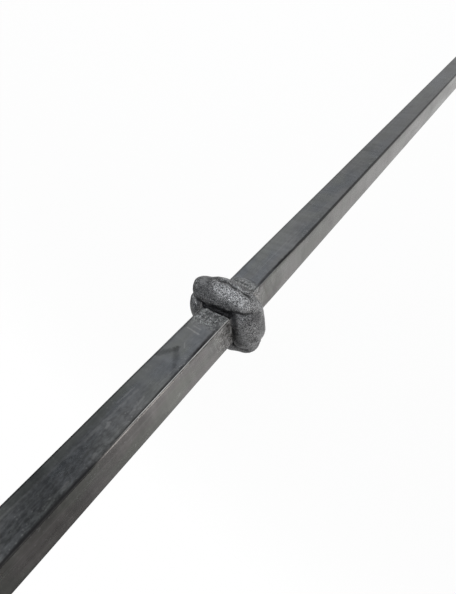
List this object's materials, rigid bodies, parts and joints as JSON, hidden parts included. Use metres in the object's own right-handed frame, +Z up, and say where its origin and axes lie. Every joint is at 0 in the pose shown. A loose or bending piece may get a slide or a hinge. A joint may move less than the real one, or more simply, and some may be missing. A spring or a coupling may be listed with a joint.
{
  "type": "stair baluster",
  "caption": "Solid square steel bar with a lobed knuckle forged into it at mid height, set upright between a stair tread and a handrail to fill a stair railing.",
  "frame": {"origin": "centre of the square-cut foot", "axes": "+Z up along the bar, X and Y square to the bar's faces; the broad lobes of the knuckle face -Y and +Y"},
  "size_m": [0.0324, 0.0348, 1],
  "materials": {
    "raw_steel": "raw hot-rolled mill scale, smooth and bluish on the bar, coarse and grainy on the knuckle"
  },
  "bodies": {
    "root": {"forged_baluster": "raw_steel"}
  },
  "joints": []
}
